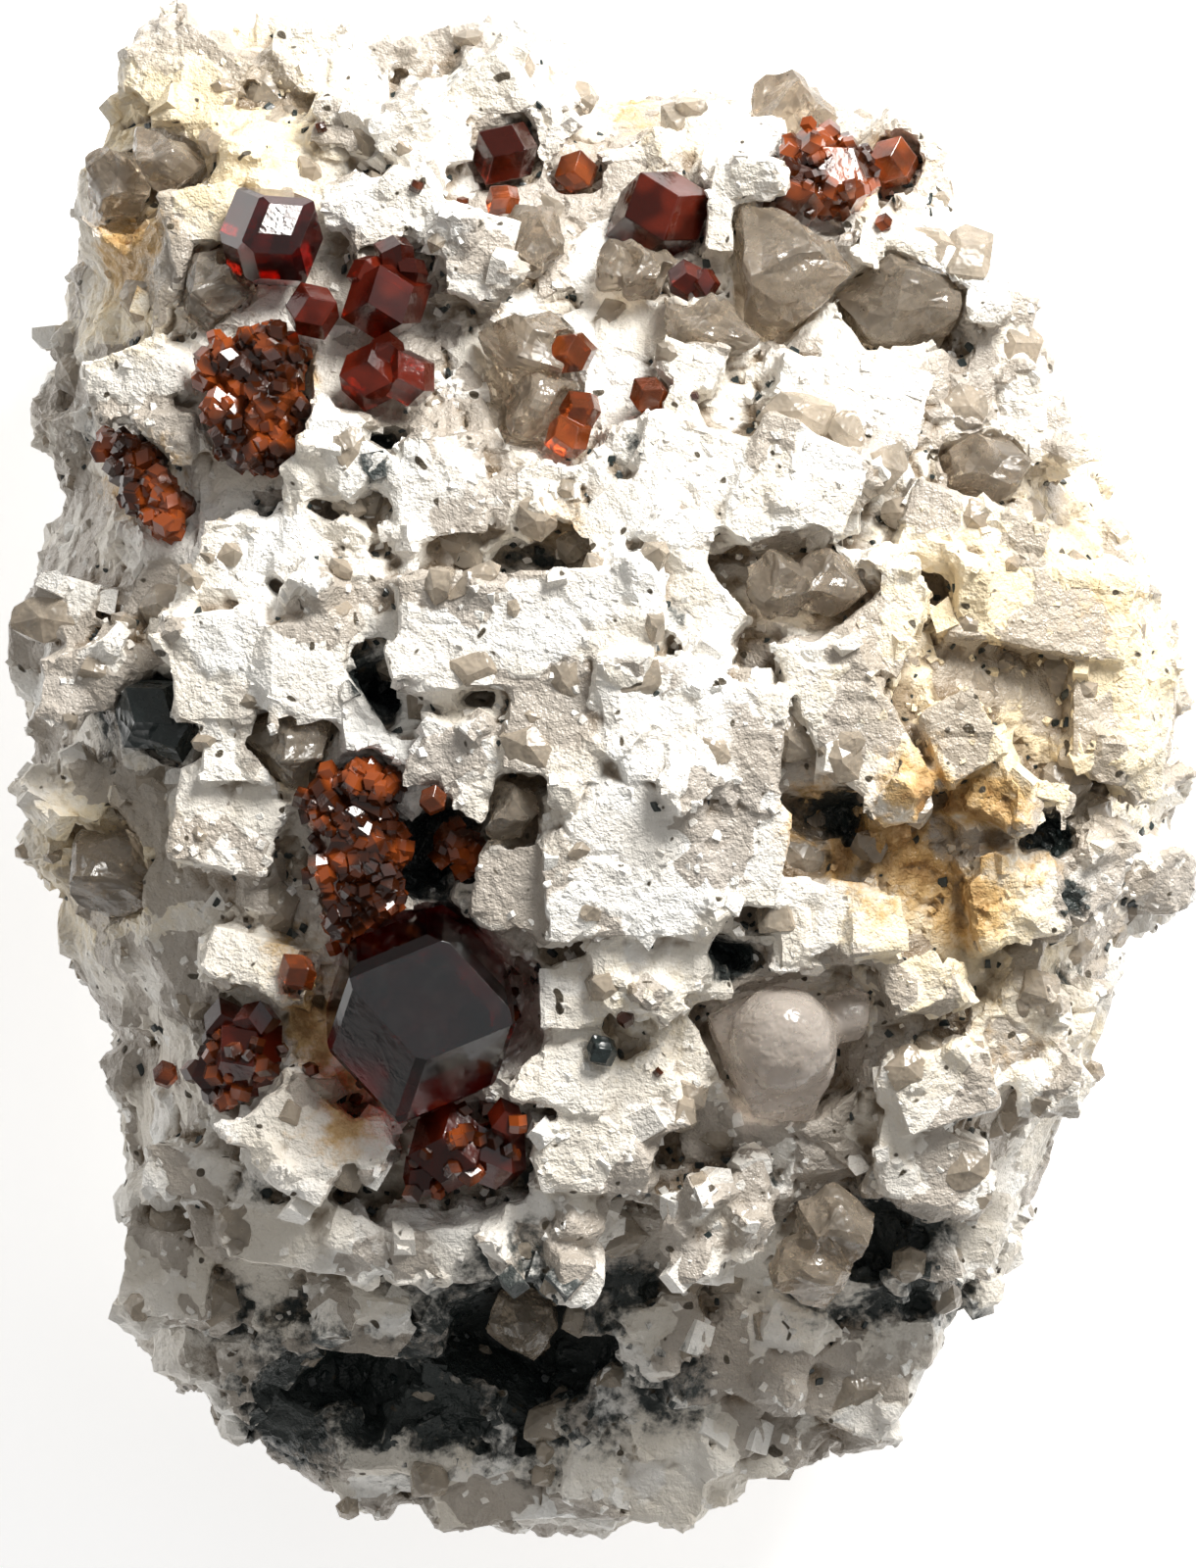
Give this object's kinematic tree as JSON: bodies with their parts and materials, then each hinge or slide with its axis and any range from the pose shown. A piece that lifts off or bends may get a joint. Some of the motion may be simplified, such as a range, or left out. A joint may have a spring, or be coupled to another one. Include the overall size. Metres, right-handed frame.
{
  "type": "garnet in matrix",
  "caption": "Loose mineral specimen: dark red garnets and smoky quartz standing in a rough block of white feldspar, lying on its flat broken back.",
  "frame": {"origin": "on the flat broken back, under the middle of the specimen", "axes": "+Z out of the display face, +Y towards the top of the display face, +X towards its right side"},
  "size_m": [0.0604, 0.0778, 0.039],
  "materials": {
    "feldspar": "matt, sugary, with yellow-brown iron stains",
    "garnet": "glossy, clear orange-red where thin and nearly black where thick",
    "quartz": "glassy, smoky grey-brown, cloudy",
    "black_mineral": "glossy black"
  },
  "bodies": {
    "root": {"matrix": "feldspar", "large_garnet": "garnet", "upper_left_garnet": "garnet", "upper_left_small_garnet": "garnet", "twin_garnets": "garnet", "lower_twin_garnets": "garnet", "top_garnet": "garnet", "top_orange_garnet": "garnet", "amber_garnet": "garnet", "upper_right_garnet": "garnet", "small_red_garnet": "garnet", "ledge_garnet": "garnet", "quartz_side_garnet": "garnet", "quartz_foot_garnet": "garnet", "top_right_garnets": "garnet", "corner_garnet": "garnet", "upper_left_druse": "garnet", "far_left_druse": "garnet", "middle_druse": "garnet", "hollow_garnets": "garnet", "block_garnet": "garnet", "left_orange_garnet": "garnet", "left_cluster": "garnet", "far_left_garnet": "garnet", "lower_cluster": "garnet", "black_crystal": "black_mineral", "black_grain": "black_mineral", "large_smoky_quartz": "quartz", "wedge_quartz": "quartz", "garnet_foot_quartz": "quartz", "pillar_quartz": "quartz", "upper_left_quartz": "quartz", "clear_quartz": "quartz", "striated_quartz": "quartz", "right_quartz": "quartz", "ridge_quartz": "quartz", "rose_quartz_grain": "quartz", "lower_quartz": "quartz", "drop_quartz": "quartz", "top_left_quartz": "quartz", "top_quartz": "quartz", "left_quartz": "quartz", "far_left_quartz": "quartz", "dark_quartz": "quartz"}
  },
  "joints": []
}
